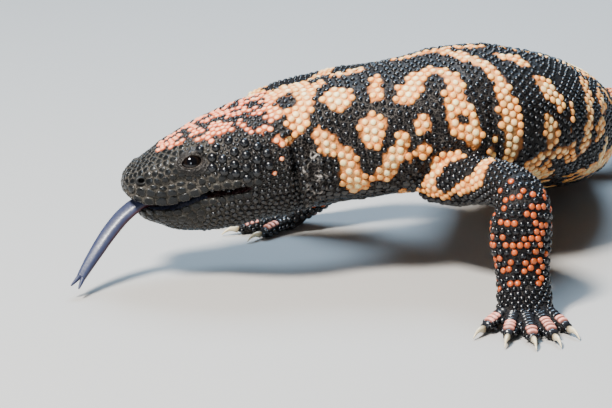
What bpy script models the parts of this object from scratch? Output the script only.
"""A gila monster as a still, life-size model that stands on its four feet, hind belly and tail."""

import math

import bmesh
import bpy
import numpy as np
from mathutils import Matrix, Vector

# Driving sizes. The tables are in millimetres: +X runs from the snout back along the neck,
# -Y is the animal's left, +Z is up, and the floor is at 0.
MM = 0.001
GAP = 0.32

# Beads: how far they stand above the flesh, their radius, and how deep they are rooted.
BEAD_RISE = 0.9
LIMB_INSET = 0.5
BEAD_RADIUS = 1.7
TEMPLE_RADIUS = 1.95
BEAD_ROOT = 0.9
BEAD_SPACING = 15.5
BEAD_FLANK = 108.0
BEAD_SIDES = 5
BEAD_WAIST = 0.62
BEAD_WALL = 0.72
BEAD_FLOOR = 3.0
BEAD_MARGIN = 1.6
LIMB_BEAD_SHARE = 0.55
TEMPLE_ROWS = (32.5, 37.0, 41.5, 46.0, 50.5)
TEMPLE_TURN = 52.0
TEMPLE_STEP = 15.0
CROWN_ROWS = (13.0, 19.0, 25.0, 31.0, 37.0, 43.0, 49.0, 54.0)
CROWN_SPREAD = 16.0
CROWN_WIDER = 1.5
EYE_ROOM = 8.2
EAR_ROOM = 4.4

# Axis of head, trunk and tail, from snout to tail tip:
# x, y and z of the axis, half width, height above the axis, depth below it.
AXIS = np.array([
    (-63.4, -12.0, 35.0, 11.5, 7.0, 11.0),
    (-60.0, -11.5, 34.6, 12.0, 8.0, 13.2),
    (-54.5, -10.8, 34.4, 12.8, 10.2, 16.2),
    (-49.5, -10.1, 35.0, 13.8, 12.4, 18.6),
    (-44.6, -9.4, 36.0, 15.0, 14.2, 20.2),
    (-39.6, -8.7, 37.2, 16.6, 15.4, 21.0),
    (-32.2, -7.6, 38.8, 19.8, 17.4, 21.2),
    (-25.2, -6.6, 40.0, 22.2, 19.0, 20.4),
    (-18.3, -5.6, 41.2, 23.2, 20.4, 20.0),
    (-11.4, -4.5, 42.2, 22.6, 21.6, 20.0),
    (-5.8, -3.4, 43.2, 21.0, 22.4, 20.2),
    (5.0, -1.0, 44.8, 21.2, 23.2, 20.4),
    (20.0, 2.5, 46.6, 24.2, 24.4, 20.6),
    (35.0, 7.0, 48.6, 28.2, 25.0, 21.2),
    (50.0, 13.0, 50.0, 31.6, 25.4, 22.4),
    (63.0, 21.6, 49.6, 33.0, 25.4, 23.0),
    (73.6, 35.0, 45.6, 33.4, 25.0, 23.4),
    (81.4, 53.0, 38.8, 33.4, 24.4, 23.8),
    (86.0, 73.0, 32.0, 33.0, 24.0, 24.0),
    (87.4, 95.0, 26.6, 31.8, 23.6, 24.4),
    (85.5, 117.0, 23.4, 29.4, 22.6, 24.0),
    (81.0, 137.0, 21.4, 26.0, 20.8, 22.2),
    (73.0, 154.0, 19.0, 21.0, 18.4, 19.8),
    (62.0, 168.5, 17.2, 17.6, 16.4, 18.0),
    (48.0, 180.0, 16.0, 16.4, 15.2, 16.8),
    (31.0, 188.5, 14.8, 15.4, 14.0, 15.6),
    (13.0, 194.0, 12.8, 13.6, 12.2, 13.6),
    (-4.0, 197.0, 10.6, 11.2, 10.0, 11.4),
    (-18.0, 198.4, 8.2, 8.6, 7.8, 8.9),
    (-27.0, 198.8, 6.8, 7.0, 6.4, 7.3),
])
BODY_SIDES = 28
BODY_STEP = 6.5
SNOUT_ROUND = 8.5
TAIL_ROUND = 8.0
HEAD_SQUARE = 2.6
BODY_SQUARE = 2.15
HEAD_ROLL = 4.0

# Where one node of the body ends and the next begins, as distances along the axis.
HEAD_END = 58.0
NECK_END = 92.0
CHEST_END = 150.0
LOIN_END = 212.0
VENT = 262.0
TAIL_HALF = 315.0

# The mouth line: distance along the axis, and its height measured from the axis.
MOUTH = np.array([
    (0.0, -4.4), (9.0, -4.6), (14.0, -5.2), (19.0, -4.7), (24.0, -3.3),
    (31.5, -2.1), (38.5, -1.7), (46.0, -2.4),
])
MOUTH_CORNER = 45.0
JAW_HINGE = 52.5
JAW_START = 4.6
JAW_ROUND = 10.0
MOUTH_GAPE = 3.6
GAPE_END = 23.0
JAW_INSET = 0.6
JAW_DROP = 0.42
JAW_SETBACK = 0.55
JAW_END = 50.9
LIP_SWELL = 0.7
LIP_SPREAD = 2.0
LIP_FADE = 6.0

EYE_AT = 25.0
EYE_RISE = 8.8
EYE_RADIUS = 3.9
EYE_SINK = 2.4
LID_RADIUS = 3.9
LID_THICK = 1.25
LID_FLAT = 0.8
LID_PROUD = 0.4

NOSTRIL_AT = 6.2
NOSTRIL_RISE = 3.6
EAR_AT = 55.2
EAR_RISE = 5.6
NOSTRIL_SIZE = (1.2, 1.0, 1.8)
EAR_SIZE = (1.1, 4.6, 2.2)

# Tongue: x, y, z of its centre line, half width, half thickness. Its width lies level in the mouth
# and turns to the side towards the tip.
TONGUE = np.array([
    (-40.0, -9.5, 30.4, 3.4, 1.5),
    (-50.0, -11.2, 28.4, 3.3, 1.6),
    (-57.5, -13.2, 27.2, 3.2, 1.8),
    (-62.5, -15.4, 23.8, 3.1, 1.9),
    (-66.8, -18.8, 19.0, 2.9, 1.9),
    (-70.8, -23.6, 13.6, 2.5, 1.7),
    (-74.0, -28.4, 9.2, 2.0, 1.5),
    (-75.8, -31.8, 6.6, 1.6, 1.2),
])
TONGUE_ROOT_WAY = (0.60, -0.80, 0.0)
TONGUE_TIP_WAY = (0.84, -0.36, -0.40)
TINE_LENGTH = 6.5
TINE_SPREAD = 17.0
TINE_SINK = 1.6
TINE_APART = 0.45
TINE_SHAPE = [(0.0, 0.95, 0.95), (0.35, 0.8, 0.75), (0.7, 0.55, 0.5), (1.0, 0.28, 0.28)]

# Legs: x, y, z of the centre line, half width, half thickness, compass heading of the limb.
LEGS = {
    "front_left": ([
        (44.5, -6.0, 36.4, 11.4, 10.6, -47), (52.0, -14.0, 36.8, 10.4, 10.2, -47),
        (59.3, -22.0, 38.2, 8.8, 8.6, -47), (65.5, -30.0, 39.0, 8.4, 8.2, -48),
        (70.0, -37.0, 38.4, 8.8, 8.2, -54), (72.0, -41.5, 35.0, 9.6, 8.2, -66),
        (71.4, -43.5, 29.2, 10.7, 8.2, -80), (71.2, -44.8, 22.8, 10.4, 7.8, -87),
        (71.8, -46.4, 16.6, 9.4, 7.0, -89), (72.0, -49.5, 11.2, 9.2, 5.8, -90),
        (72.2, -54.5, 6.4, 9.6, 5.0, -90), (72.2, -60.0, 3.4, 9.8, 4.7, -90),
        (72.2, -64.5, 2.7, 9.2, 3.9, -90),
    ], -1, 1.0),
    "front_right": ([
        (46.0, 19.0, 39.0, 10.0, 9.6, 108), (41.5, 32.0, 39.6, 9.0, 8.8, 112),
        (34.5, 43.0, 38.0, 8.6, 8.2, 126), (26.0, 48.6, 33.2, 9.2, 8.2, 145),
        (18.0, 50.0, 26.4, 10.0, 8.2, 165), (11.0, 49.4, 19.2, 9.6, 7.4, 178),
        (5.0, 48.4, 12.8, 9.2, 6.2, 182), (-1.5, 47.4, 7.8, 9.4, 5.2, 184),
        (-8.0, 46.4, 3.5, 9.8, 4.8, 186), (-13.0, 45.8, 2.7, 9.2, 3.9, 187),
    ], 1, 1.0),
    "hind_left": ([
        (88.0, 139.0, 18.5, 12.0, 11.0, -32), (100.0, 131.5, 22.0, 11.0, 10.0, -32),
        (112.0, 125.4, 25.0, 9.6, 9.2, -26), (122.0, 123.6, 25.2, 8.8, 8.4, 6),
        (129.0, 128.0, 21.2, 8.8, 8.0, 46), (132.8, 134.6, 15.2, 8.6, 7.2, 52),
        (136.4, 139.2, 10.0, 8.4, 6.0, 20), (141.0, 140.8, 6.5, 8.8, 5.1, -12),
        (147.0, 138.8, 3.5, 9.4, 4.8, -26), (151.4, 136.4, 2.7, 8.8, 3.9, -30),
    ], -1, 0.98),
    "hind_right": ([
        (76.0, 137.0, 18.5, 12.0, 11.0, 214), (65.0, 129.5, 22.0, 11.0, 10.0, 214),
        (53.5, 123.4, 25.0, 9.6, 9.2, 206), (44.0, 121.8, 25.2, 8.8, 8.4, 174),
        (37.4, 126.4, 21.2, 8.8, 8.0, 132), (34.2, 133.0, 15.2, 8.6, 7.2, 128),
        (30.8, 137.8, 10.0, 8.4, 6.0, 158), (26.2, 139.4, 6.5, 8.8, 5.1, 190),
        (20.2, 137.4, 3.5, 9.4, 4.8, 204), (15.8, 135.0, 2.7, 8.8, 3.9, 208),
    ], 1, 0.98),
}
ELBOW_SHARE = 0.5
WRIST_SHARE = 0.82
LEG_STEPS = 7
BEND_EASE = 6.0
LEG_SIDES = 14

# Toes: turn from the hand's heading, offset across the knuckles, set back, length, radius.
TOES = [
    (36.0, -7.4, 4.4, 12.0, 2.6), (12.0, -4.6, 0.6, 13.6, 2.6), (-4.0, -0.4, 0.0, 14.8, 2.7),
    (-15.0, 4.0, 0.6, 13.8, 2.6), (-28.0, 7.2, 5.0, 12.0, 2.5),
]
# Along a toe: share of its length, height of its centre, and its thickness against its radius.
TOE_SHAPE = np.array([
    (0.0, 3.2, 1.0), (0.3, 3.6, 1.08), (0.55, 3.1, 1.0), (0.8, 2.3, 1.04), (1.0, 1.7, 0.72),
])
TOE_FLAT = 0.92
TOE_SINK = 4.0
TOE_SIDES = 7
CLAW_LENGTH = 6.2
CLAW_RADIUS = 1.25
CLAW_HEIGHT = 2.0
CLAW_ARCH = 0.9
CLAW_DROP = 1.9
CLAW_TAPER = 0.8
CLAW_FLAT = 0.8
CLAW_GAP = 0.75

MATERIALS = {
    "black_skin": ((0.035, 0.035, 0.04), 0.45),
    "peach_skin": ((0.80, 0.50, 0.33), 0.5),
    "tongue_skin": ((0.13, 0.14, 0.22), 0.3),
    "eye_gloss": ((0.02, 0.02, 0.025), 0.08),
    "claw_horn": ((0.72, 0.66, 0.50), 0.35),
}


def unit(vectors):
    """Vectors divided by their lengths, along the last axis."""
    return vectors / np.linalg.norm(vectors, axis=-1, keepdims=True)


def with_distance(rows):
    """The table with the distance along its x, y, z path added as its first column."""
    rows = np.asarray(rows, float)
    steps = np.linalg.norm(np.diff(rows[:, :3], axis=0), axis=1)
    return np.column_stack([np.concatenate([[0.0], np.cumsum(steps)]), rows])


def smooth(table, at):
    """Cubic curve through the rows of a table, read at distances given in its first column."""
    at = np.atleast_1d(np.asarray(at, float))
    knots, rows = table[:, 0], table[:, 1:]
    slopes = np.gradient(rows, knots, axis=0)
    i = np.clip(np.searchsorted(knots, at, side="right") - 1, 0, len(knots) - 2)
    step = (knots[i + 1] - knots[i])[:, None]
    f = (at - knots[i])[:, None] / step
    start = (2 * f**3 - 3 * f**2 + 1) * rows[i] + (f**3 - 2 * f**2 + f) * step * slopes[i]
    end = (3 * f**2 - 2 * f**3) * rows[i + 1] + (f**3 - f**2) * step * slopes[i + 1]
    return start + end


AXIS_TABLE = with_distance(AXIS)
BODY_LENGTH = AXIS_TABLE[-1, 0]


def axis_frame(u):
    """Centre, side and up directions of the body at distances u. Side points to its left."""
    u = np.atleast_1d(np.asarray(u, float))
    centre = smooth(AXIS_TABLE, u)[:, :3]
    ahead = smooth(AXIS_TABLE, np.clip(u + 2.0, 0, BODY_LENGTH))[:, :3]
    behind = smooth(AXIS_TABLE, np.clip(u - 2.0, 0, BODY_LENGTH))[:, :3]
    along = unit(ahead - behind)
    up = unit(np.array([0.0, 0.0, 1.0]) - along[:, 2:3] * along)
    left = np.cross(along, up)
    roll = np.radians(HEAD_ROLL) * np.clip((NECK_END - u) / (NECK_END - HEAD_END), 0, 1)
    cos, sin = np.cos(roll)[:, None], np.sin(roll)[:, None]
    return centre, left * cos - up * sin, up * cos + left * sin


def end_round(u):
    """1 along the body, falling on a quarter circle to 0 at the snout and the tail tip."""
    snout = 1 - np.clip(u / SNOUT_ROUND, 0, 1)
    tail = 1 - np.clip((BODY_LENGTH - u) / TAIL_ROUND, 0, 1)
    return np.sqrt(np.clip(1 - snout**2, 0, 1)) * np.sqrt(np.clip(1 - tail**2, 0, 1))


def squareness(u):
    """Exponent of the section: boxy at the head, rounder along the trunk."""
    f = np.clip((u - HEAD_END * 0.7) / 40.0, 0, 1)
    return HEAD_SQUARE + (BODY_SQUARE - HEAD_SQUARE) * f


def body_section(u, angle, grow=0.0):
    """Offsets to the left and up of the skin at distances u. Angle 0 is the spine's top, and the
    angles are one row for all of u, or one column with an angle for each."""
    rows = smooth(AXIS_TABLE, u) - np.array([0, 0, 0, BEAD_RISE, BEAD_RISE, 0])
    power = 2.0 / squareness(u)[:, None]
    ends = end_round(u)[:, None]
    sin, cos = np.sin(angle), np.cos(angle)
    reach = np.where(cos > 0, rows[:, 4:5], rows[:, 5:6])
    side = (rows[:, 3:4] * ends + grow) * np.sign(sin) * np.abs(sin) ** power
    rise = (reach * ends + grow) * np.sign(cos) * np.abs(cos) ** power
    return side, rise


def placed(u, side, rise):
    """Points of the sections at distances u, kept on or above the floor."""
    centre, left, up = axis_frame(u)
    points = centre[:, None] + side[..., None] * left[:, None] + rise[..., None] * up[:, None]
    points[..., 2] = np.maximum(points[..., 2], 0.0)
    return points


def ring_angles(count):
    """Angles once round a section, running from the top to the left side."""
    return np.arange(count) * 2 * math.pi / count


def material(name):
    """The named colour as a Principled BSDF material."""
    found = bpy.data.materials.get(name)
    if found:
        return found
    made = bpy.data.materials.new(name)
    made.use_nodes = True
    shader = made.node_tree.nodes["Principled BSDF"]
    colour, roughness = MATERIALS[name]
    shader.inputs["Base Color"].default_value = (*colour, 1.0)
    shader.inputs["Roughness"].default_value = roughness
    shader.inputs["Metallic"].default_value = 0.0
    return made


def collection(name):
    """A collection in the scene, made if it isn't there."""
    found = bpy.data.collections.get(name)
    if not found:
        found = bpy.data.collections.new(name)
        bpy.context.scene.collection.children.link(found)
    return found


def new_object(name, points, faces, colour="black_skin", group="gila_monster"):
    """An object from points in millimetres, in the model's own frame."""
    mesh = bpy.data.meshes.new(name)
    mesh.from_pydata((np.asarray(points) * MM).tolist(), [], faces)
    work = bmesh.new()
    work.from_mesh(mesh)
    bmesh.ops.recalc_face_normals(work, faces=work.faces)
    work.to_mesh(mesh)
    work.free()
    mesh.shade_smooth()
    mesh.materials.append(material(colour))
    made = bpy.data.objects.new(name, mesh)
    collection(group).objects.link(made)
    return made


def loft(name, rings, colour="black_skin", group="gila_monster"):
    """A closed solid through rings of points, with a flat face over each end."""
    stations, count = rings.shape[:2]
    index = np.arange(stations * count).reshape(stations, count)
    turned = np.roll(index, -1, axis=1)
    quads = np.stack([index[:-1], index[1:], turned[1:], turned[:-1]], axis=-1).reshape(-1, 4)
    ends = [index[0].tolist(), index[-1].tolist()]
    return new_object(name, rings.reshape(-1, 3), quads.tolist() + ends, colour, group)


def placed_mesh(work, name, centre, turn, colour, group):
    """An object from a bmesh primitive, turned to the axes in turn's columns and moved to centre."""
    axes = Matrix([list(row) for row in np.asarray(turn, float)]).to_4x4()
    work.transform(Matrix.Translation(Vector(centre) * MM) @ axes @ Matrix.Scale(MM, 4))
    mesh = bpy.data.meshes.new(name)
    work.to_mesh(mesh)
    work.free()
    mesh.shade_smooth()
    mesh.materials.append(material(colour))
    made = bpy.data.objects.new(name, mesh)
    collection(group).objects.link(made)
    return made


def ellipsoid(name, centre, radii, turn, sides=14, colour="black_skin", group="cutters"):
    """A ball stretched along the three axes in turn's columns."""
    work = bmesh.new()
    bmesh.ops.create_uvsphere(work, u_segments=sides, v_segments=sides // 2, radius=1.0)
    bmesh.ops.scale(work, vec=Vector(radii), verts=work.verts)
    return placed_mesh(work, name, centre, turn, colour, group)


def boolean(target, operation, others, solver="EXACT"):
    """Joins or cuts the target with a group of closed meshes, applies it and removes them."""
    group = collection(f"{target.name}_{operation.lower()}")
    for other in others:
        for owner in list(other.users_collection):
            owner.objects.unlink(other)
        group.objects.link(other)
    modifier = target.modifiers.new(operation.lower(), "BOOLEAN")
    modifier.operation = operation
    modifier.operand_type = "COLLECTION"
    modifier.collection = group
    modifier.solver = solver
    apply_modifiers(target)
    for other in others:
        bpy.data.objects.remove(other)
    bpy.data.collections.remove(group)
    keep_largest(target)
    return target


def apply_modifiers(target):
    """Gives the object its evaluated mesh and clears its modifiers."""
    bpy.context.view_layer.update()
    graph = bpy.context.evaluated_depsgraph_get()
    made = bpy.data.meshes.new_from_object(target.evaluated_get(graph))
    target.modifiers.clear()
    target.data = made


def keep_largest(target):
    """Drops every closed surface of the mesh but the one that reaches furthest."""
    work = bmesh.new()
    work.from_mesh(target.data)
    left, pieces = set(work.verts), []
    while left:
        piece, front = set(), [left.pop()]
        while front:
            vertex = front.pop()
            piece.add(vertex)
            near = {edge.other_vert(vertex) for edge in vertex.link_edges} & left
            left -= near
            front.extend(near)
        pieces.append(piece)
    pieces.sort(key=span, reverse=True)
    for piece in pieces[1:]:
        bmesh.ops.delete(work, geom=list(piece), context="VERTS")
    work.to_mesh(target.data)
    work.free()


def span(vertices):
    """Diagonal of the box round a set of vertices."""
    points = np.array([vertex.co[:] for vertex in vertices])
    return float(np.linalg.norm(points.max(0) - points.min(0)))


def body_node(name, start, end):
    """A closed length of trunk, neck or tail between two distances along the axis."""
    u = np.linspace(start, end, int(round((end - start) / BODY_STEP)) + 1)
    return loft(name, placed(u, *body_section(u, ring_angles(BODY_SIDES))))


def tail_end():
    """The last half of the tail, closed to a blunt tip."""
    u = np.concatenate([
        np.linspace(TAIL_HALF + GAP, BODY_LENGTH - TAIL_ROUND, 6),
        BODY_LENGTH - TAIL_ROUND * np.array([0.72, 0.42, 0.18, 0.04]),
    ])
    return loft("tail_tip", placed(u, *body_section(u, ring_angles(BODY_SIDES))))


def mouth_height(u):
    """Height of the upper lip's edge from the axis."""
    return smooth(MOUTH, np.clip(u, 0, MOUTH[-1, 0]))[:, 0]


def head_floor(u):
    """Lowest level of the head node: the palate, then the slope behind the corner of the mouth."""
    depth = -smooth(AXIS_TABLE, u)[:, 5] - 1.0
    corner = mouth_height(np.array([MOUTH_CORNER]))[0]
    f = np.clip((u - MOUTH_CORNER) / (JAW_HINGE - MOUTH_CORNER), 0, 1)
    return np.where(u < MOUTH_CORNER, mouth_height(u), corner + (depth - corner) * f)


def lip_swell(u, rise):
    """How far the lips stand out beside the mouth line."""
    near = np.exp(-(((rise - mouth_height(u)[:, None]) / LIP_SPREAD) ** 2))
    length = np.clip(u / LIP_FADE, 0, 1) * np.clip((MOUTH_CORNER - u) / LIP_FADE, 0, 1)
    return LIP_SWELL * near * length[:, None]


def head_whole():
    """Skull and upper jaw, with a flat palate."""
    u = np.unique(np.concatenate([
        SNOUT_ROUND * np.array([0.05, 0.2, 0.42, 0.7]),
        np.linspace(SNOUT_ROUND, MOUTH_CORNER, 12),
        np.linspace(MOUTH_CORNER, JAW_HINGE, 4),
        [HEAD_END],
    ]))
    side, rise = body_section(u, ring_angles(BODY_SIDES))
    side = side + np.sign(side) * lip_swell(u, rise)
    rise = np.maximum(rise, head_floor(u)[:, None] * end_round(u)[:, None] ** 0.5)
    return loft("head", placed(u, side, rise))


def jaw_top(u):
    """Upper level of the lower jaw: the open mouth, then the slope behind the corner."""
    open_by = JAW_DROP + MOUTH_GAPE * np.clip(1 - u / GAPE_END, 0, 1)
    return head_floor(u + JAW_SETBACK * np.clip(u - MOUTH_CORNER + 1, 0, 1)) - open_by


def lower_jaw():
    """The lower jaw, from its rounded tip to the slope behind the corner of the mouth."""
    u = np.unique(np.concatenate([
        JAW_START + JAW_ROUND * np.array([0.03, 0.15, 0.4, 0.7]),
        np.linspace(JAW_START + JAW_ROUND, MOUTH_CORNER, 9),
        np.linspace(MOUTH_CORNER, JAW_END, 4),
    ]))
    tip = np.sqrt(1 - (1 - np.clip((u - JAW_START) / JAW_ROUND, 0, 1)) ** 2)[:, None]
    top = jaw_top(u)[:, None]
    half = smooth(AXIS_TABLE, u)[:, [3]] - JAW_INSET - BEAD_RISE
    depth = smooth(AXIS_TABLE, u)[:, [5]] - BEAD_RISE * 0.5
    power = 2.0 / squareness(u)[:, None]
    lip = np.arccos(-((-top / depth) ** (1 / power)))
    turn = lip + (math.pi - lip) * np.linspace(0, 1, 11)
    under = half * np.abs(np.sin(turn)) ** power * tip
    drop = top + (-depth * np.abs(np.cos(turn)) ** power - top) * tip
    side = np.column_stack([under[:, :1] * np.array([0, 0.3, 0.6, 0.85]), under])
    rise = np.column_stack([np.repeat(top, 4, axis=1), drop])
    side = np.column_stack([side, -side[:, -2:0:-1]])
    rise = np.column_stack([rise, rise[:, -2:0:-1]])
    return loft("lower_jaw", placed(u, side, rise))


def surface_point(u, rise, left_side):
    """A point on the skin at distance u and a height from the axis, with the way out there."""
    rows = smooth(AXIS_TABLE, u)[0] - np.array([0, 0, 0, BEAD_RISE, BEAD_RISE, 0])
    power = squareness(np.array([u]))[0]
    shrink = end_round(np.array([u]))[0]
    half, reach = rows[3] * shrink, (rows[4] if rise > 0 else rows[5]) * shrink
    level = min(0.99, abs(rise) / reach)
    side = half * (1 - level**power) ** (1 / power)
    centre, left, up = (part[0] for part in axis_frame(u))
    sideways = left * (1 if left_side else -1)
    lean = level ** (power - 1) / reach * math.copysign(1, rise)
    spread = (side / half) ** (power - 1) / half
    outward = unit(sideways * spread + up * lean)
    forward = np.cross(up, sideways)
    return centre + up * rise + sideways * side, np.column_stack([
        forward, np.cross(outward, forward), outward,
    ])


def lid_ring(centre, turn):
    """Upper and lower lid as one ring of skin round the eye. turn holds its three axes."""
    bpy.ops.mesh.primitive_torus_add(
        major_segments=12, minor_segments=5, major_radius=LID_RADIUS, minor_radius=LID_THICK,
    )
    ring = bpy.context.object
    work = bmesh.new()
    work.from_mesh(ring.data)
    bpy.data.objects.remove(ring)
    bmesh.ops.scale(work, vec=Vector((1.0, LID_FLAT, 1.0)), verts=work.verts)
    return placed_mesh(work, "lids", centre, turn, "black_skin", "cutters")


def head_features(head):
    """Adds the lids, and sinks the eye sockets, nostrils and ear openings."""
    lids, pits = [], []
    for left_side in (True, False):
        surface, turn = surface_point(EYE_AT, EYE_RISE, left_side)
        lids.append(lid_ring(surface + turn[:, 2] * LID_PROUD, turn))
        eye = surface - turn[:, 2] * EYE_SINK
        pits.append(ellipsoid("socket", eye, [EYE_RADIUS + GAP] * 3, turn, 14))
        nostril, turn_nose = surface_point(NOSTRIL_AT, NOSTRIL_RISE, left_side)
        pits.append(ellipsoid("nostril", nostril, NOSTRIL_SIZE, turn_nose, 8))
        ear, turn_ear = surface_point(EAR_AT, EAR_RISE, left_side)
        pits.append(ellipsoid("ear", ear, EAR_SIZE, turn_ear, 10))
        side = "left" if left_side else "right"
        ellipsoid(f"eye_{side}", eye, [EYE_RADIUS] * 3, turn, 12, "eye_gloss", "gila_monster")
    boolean(head, "UNION", lids)
    boolean(head, "DIFFERENCE", pits)


def tube(name, table, sides, steps, grow=0.0, group="gila_monster", colour="black_skin", side_way=None):
    """A closed tube of oval section along a table of x, y, z, half width, half thickness."""
    path = with_distance(table)
    u = np.linspace(0, path[-1, 0], steps)
    rows = smooth(path, u)
    along = unit(np.gradient(rows[:, :3], u, axis=0))
    side_way = np.broadcast_to(np.asarray(side_way, float), along.shape)
    across = unit(side_way - (along * side_way).sum(1)[:, None] * along)
    over = np.cross(across, along)
    angle = ring_angles(sides)
    rings = (
        rows[:, None, :3]
        + (rows[:, 3, None] + grow)[..., None] * np.cos(angle)[None, :, None] * across[:, None]
        + (rows[:, 4, None] + grow)[..., None] * np.sin(angle)[None, :, None] * over[:, None]
    )
    rings[..., 2] = np.maximum(rings[..., 2], 0.0)
    return loft(name, rings, colour, group)


def tongue(grow=0.0, group="gila_monster"):
    """The forked tongue, flattened, out of the mouth and down, with its two tines."""
    steps = 15
    side_ways = np.linspace(TONGUE_ROOT_WAY, TONGUE_TIP_WAY, steps)
    name = "tongue" if group == "gila_monster" else "tongue_room"
    made = tube(name, TONGUE, 12, steps, grow, group, "tongue_skin", side_ways)
    tip, before = TONGUE[-1, :3], TONGUE[-2, :3]
    forward = unit(tip - before)
    across = unit(side_ways[-1] - forward * (forward @ side_ways[-1]))
    share, half, thick = np.array(TINE_SHAPE).T
    tines = []
    for sign in (-1, 1):
        lean = math.radians(TINE_SPREAD * sign)
        way = forward * math.cos(lean) + across * math.sin(lean)
        root = tip - forward * TINE_SINK + across * sign * TINE_APART
        rows = np.column_stack([root + np.outer(share * TINE_LENGTH, way), half + grow, thick + grow])
        tines.append(tube("tine", rows, 6, 5, 0.0, "cutters", "tongue_skin", across))
    return boolean(made, "UNION", tines)


def limb_rings(rows, sides, steps):
    """Rings along a leg. The heading column keeps each ring's width level with the floor."""
    path = with_distance(rows)
    u = np.linspace(0, path[-1, 0], steps)
    read = smooth(path, u)
    ahead = smooth(path, np.minimum(u + BEND_EASE, path[-1, 0]))[:, :3]
    behind = smooth(path, np.maximum(u - BEND_EASE, 0.0))[:, :3]
    along = unit(ahead - behind)
    heading = np.radians(read[:, 5])
    level = np.column_stack([-np.sin(heading), np.cos(heading), np.zeros(len(u))])
    across = unit(level - (along * level).sum(1)[:, None] * along)
    over = np.cross(along, across)
    angle = ring_angles(sides)
    rings = (
        read[:, None, :3]
        + (read[:, 3, None, None] - LIMB_INSET) * np.cos(angle)[None, :, None] * across[:, None]
        + (read[:, 4, None, None] - LIMB_INSET) * np.sin(angle)[None, :, None] * over[:, None]
    )
    rings[..., 2] = np.maximum(rings[..., 2], 0.0)
    return rings


def limb_piece(name, rows, start, end, sides=LEG_SIDES, steps=LEG_STEPS):
    """The length of a leg between two shares of its path."""
    path = with_distance(rows)
    at = np.linspace(start, end, steps) * path[-1, 0]
    dense = limb_rings(rows, sides, 121)
    share = at / path[-1, 0] * 120
    low = np.clip(share.astype(int), 0, 119)
    f = (share - low)[:, None, None]
    return loft(name, dense[low] * (1 - f) + dense[low + 1] * f)


def heading_way(degrees):
    """The level direction with this compass heading, from +X towards +Y."""
    return np.array([math.cos(math.radians(degrees)), math.sin(math.radians(degrees)), 0.0])


def toe_rows(base, way, length, radius):
    """A toe's table: from inside the palm, over its knuckle and down to its tip."""
    share, height, fullness = TOE_SHAPE.T
    points = base + np.outer(share * (length + TOE_SINK) - TOE_SINK, way)
    points[:, 2] = height
    return np.column_stack([points, radius * fullness, radius * fullness * TOE_FLAT])


def claw(name, tip, way, size):
    """A curved claw beyond a toe's tip, pointing down to just above the floor."""
    share = np.linspace(0, 1, 5)
    points = tip + np.outer(share * CLAW_LENGTH * size, way)
    points[:, 2] = CLAW_HEIGHT + CLAW_ARCH * np.sin(share * math.pi * 0.8) - CLAW_DROP * share**2
    radius = CLAW_RADIUS * size * (1 - CLAW_TAPER * share)
    rows = np.column_stack([points, radius * CLAW_FLAT, radius])
    return tube(name, rows, 6, 5, 0.0, "gila_monster", "claw_horn", np.cross([0, 0, 1.0], way))


def leg(name, rows, hand_sign, size, body_room):
    """Upper limb, lower limb and foot with five toes, and a claw on each toe."""
    front = name.startswith("front")
    upper, lower, foot = ("arm", "forearm", "forefoot") if front else ("thigh", "shank", "hindfoot")
    side = name.split("_")[1]
    length = with_distance(rows)[-1, 0]
    gap = GAP * 1.3 / length
    root = limb_piece(f"{upper}_{side}", rows, 0.0, ELBOW_SHARE, steps=6)
    boolean(root, "DIFFERENCE", [body_room])
    limb_piece(f"{lower}_{side}", rows, ELBOW_SHARE + gap, WRIST_SHARE, steps=8)
    palm = limb_piece(f"{foot}_{side}", rows, WRIST_SHARE + gap, 1.0, 12, 5)
    end = np.array(rows[-1][:3])
    heading = rows[-1][5]
    across = heading_way(heading + 90) * -hand_sign
    toes = []
    for number, (turn, offset, back, long, radius) in enumerate(TOES, 1):
        way = heading_way(heading + turn * hand_sign)
        base = end + (across * offset - heading_way(heading) * back) * size
        table = toe_rows(base, way, long * size, radius * size)
        toes.append(tube("toe", table, TOE_SIDES, 6, 0.0, "cutters", "black_skin", np.cross([0, 0, 1.0], way)))
        tip = table[-1, :3] + way * CLAW_GAP
        claw(f"claw_{name}_{number}", tip, way, size)
    boolean(palm, "UNION", toes, "MANIFOLD")


def body_room():
    """The trunk grown by the gap, which cuts the roots of the legs to meet its skin."""
    u = np.linspace(NECK_END - 25, VENT + 20, 40)
    return loft("body_room", placed(u, *body_section(u, ring_angles(40), GAP)), group="cutters")


def bead(centre, outward, radius):
    """A dome of few sides, its root sunk below the skin."""
    work = bmesh.new()
    height = BEAD_RISE + BEAD_ROOT
    bmesh.ops.create_cone(
        work, cap_ends=True, segments=BEAD_SIDES, radius1=radius, radius2=radius * BEAD_WAIST,
        depth=height * BEAD_WALL,
    )
    top = max(work.faces, key=lambda face: face.calc_center_median().z)
    bmesh.ops.poke(work, faces=[top], offset=height * (1 - BEAD_WALL))
    side = unit(np.cross(outward, [0.31, 0.17, 0.93]))
    turn = np.column_stack([side, np.cross(outward, side), outward])
    middle = centre + outward * (height * BEAD_WALL / 2 - BEAD_ROOT)
    return placed_mesh(work, "bead", middle, turn, "black_skin", "cutters")


def skin_at(u, angle):
    """Points on the body's skin and the ways out of it, for matching distances and angles."""
    step = 0.01
    column = angle[:, None]
    points = placed(u, *body_section(u, column))[:, 0]
    around = placed(u, *body_section(u, column + step))[:, 0] - points
    along = placed(u + step, *body_section(u + step, column))[:, 0] - points
    return points, unit(np.cross(around, along))


def body_sites(start, end, spacing, flank):
    """Evenly spread places for beads on the back and flanks: distances and angles."""
    sites = []
    rows = max(1, int((end - start) / (spacing * 0.87)))
    for row in range(rows):
        u = start + (end - start) * (row + 0.5) / rows
        half, rise = smooth(AXIS_TABLE, u)[0, 3:5]
        girth = math.radians(flank) * (half + rise) / 2
        count = max(2, int(girth * 2 / spacing))
        for k in range(count):
            share = (k + 0.25 + 0.5 * (row % 2)) / count
            sites.append((u, math.radians(flank) * (2 * share - 1)))
    return np.array(sites)


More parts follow.
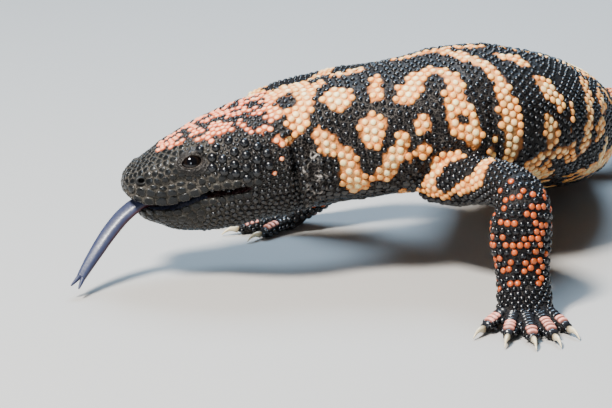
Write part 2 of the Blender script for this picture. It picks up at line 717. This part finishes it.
def clear_of_legs(points):
    """True for the points that no leg covers."""
    free = np.ones(len(points), bool)
    for leg_table in LEGS.values():
        path = with_distance(leg_table[0])
        dense = smooth(path, np.linspace(0, path[-1, 0], 60))
        gap = np.linalg.norm(points[:, None] - dense[None, :, :3], axis=-1) - dense[None, :, 3]
        free &= gap.min(1) > BEAD_RADIUS + BEAD_MARGIN
    return free


def bead_body(name, sites, radius, avoid=()):
    """Joins beads to a node of the body at (distance, angle) places clear of legs and pits."""
    points, outward = skin_at(sites[:, 0], sites[:, 1])
    keep = clear_of_legs(points) & (points[:, 2] > BEAD_FLOOR)
    for centre, reach in avoid:
        keep &= np.linalg.norm(points - centre, axis=1) > reach
    beads = [bead(points[i], outward[i], radius) for i in np.flatnonzero(keep)]
    boolean(bpy.data.objects[name], "UNION", beads, "MANIFOLD")


def temple_sites():
    """Angles and distances of the big domes behind each eye."""
    sites = []
    for row, u in enumerate(TEMPLE_ROWS):
        for k in range(3):
            angle = TEMPLE_TURN + TEMPLE_STEP * (k + 0.5 * (row % 2))
            sites += [(u, math.radians(angle)), (u, -math.radians(angle))]
    return np.array(sites)


def crown_sites():
    """Angles and distances of the smaller beads on top of the head."""
    sites = []
    for row, u in enumerate(CROWN_ROWS):
        spread = CROWN_SPREAD + CROWN_WIDER * row
        turns = (-spread, spread) if row % 2 else (-spread * 4 / 3, 0.0, spread * 4 / 3)
        sites += [(u, math.radians(turn)) for turn in turns]
    return np.array(sites)


def bead_head():
    """Big domes on the temples and smaller ones over the crown, clear of eyes, ears and seams."""
    avoid = []
    for left_side in (True, False):
        avoid.append((surface_point(EYE_AT, EYE_RISE, left_side)[0], EYE_ROOM))
        avoid.append((surface_point(EAR_AT, EAR_RISE, left_side)[0], EAR_ROOM))
    bead_body("head", temple_sites(), TEMPLE_RADIUS, avoid)
    bead_body("head", crown_sites(), BEAD_RADIUS * 0.85, avoid)


def bead_limb(name, rows, start, end):
    """Joins beads to the outer and upper side of a length of leg."""
    length = with_distance(rows)[-1, 0]
    sides = 24
    rings = limb_rings(rows, sides, 121)
    centres = rings.mean(1)
    count = max(2, int((end - start) * length / (BEAD_SPACING * LIMB_BEAD_SHARE)))
    beads = []
    for row in range(count):
        station = int(round((start + (end - start) * (row + 0.5) / count) * 120))
        for turn in ((30, 90, 150) if row % 2 else (0, 60, 120, 180)):
            index = int(turn / 360 * sides) % sides
            point = rings[station, index]
            outward = unit(point - centres[station])
            if outward[2] > -0.5 and point[2] > BEAD_FLOOR + 1:
                beads.append(bead(point, outward, BEAD_RADIUS * 0.9))
    boolean(bpy.data.objects[name], "UNION", beads, "MANIFOLD")


def centre_on_origin():
    """Moves every node so that the middle of the whole model's floor box is the origin."""
    nodes = [made for made in bpy.data.objects if made.type == "MESH"]
    points = np.concatenate([[vertex.co[:] for vertex in node.data.vertices] for node in nodes])
    low, high = points.min(0), points.max(0)
    move = Vector((-(low[0] + high[0]) / 2, -(low[1] + high[1]) / 2, -low[2]))
    for node in nodes:
        node.data.transform(Matrix.Translation(move))


def main():
    for old in list(bpy.data.objects):
        bpy.data.objects.remove(old)
    head = head_whole()
    head_features(head)
    jaw = lower_jaw()
    tongue()
    boolean(jaw, "DIFFERENCE", [tongue(GAP, "cutters")])
    boolean(head, "DIFFERENCE", [tongue(GAP, "cutters")])
    body_node("neck", HEAD_END + GAP, NECK_END)
    body_node("chest", NECK_END + GAP, CHEST_END)
    body_node("loin", CHEST_END + GAP, LOIN_END)
    body_node("hips", LOIN_END + GAP, VENT)
    body_node("tail_base", VENT + GAP, TAIL_HALF)
    tail_end()
    for name, (rows, hand_sign, size) in LEGS.items():
        leg(name, rows, hand_sign, size, body_room())
    bead_head()
    for name, start, end in (
        ("neck", HEAD_END, NECK_END), ("chest", NECK_END, CHEST_END), ("loin", CHEST_END, LOIN_END),
        ("hips", LOIN_END, VENT), ("tail_base", VENT, TAIL_HALF), ("tail_tip", TAIL_HALF, BODY_LENGTH - 6),
    ):
        bead_body(name, body_sites(start + 3, end - 3, BEAD_SPACING, BEAD_FLANK), BEAD_RADIUS)
    for name, leg_table in LEGS.items():
        upper, lower = ("arm", "forearm") if name.startswith("front") else ("thigh", "shank")
        side = name.split("_")[1]
        start = 0.3 if upper == "arm" else 0.36
        bead_limb(f"{upper}_{side}", leg_table[0], start, ELBOW_SHARE - 0.03)
        bead_limb(f"{lower}_{side}", leg_table[0], ELBOW_SHARE + 0.04, WRIST_SHARE - 0.03)
    centre_on_origin()


main()
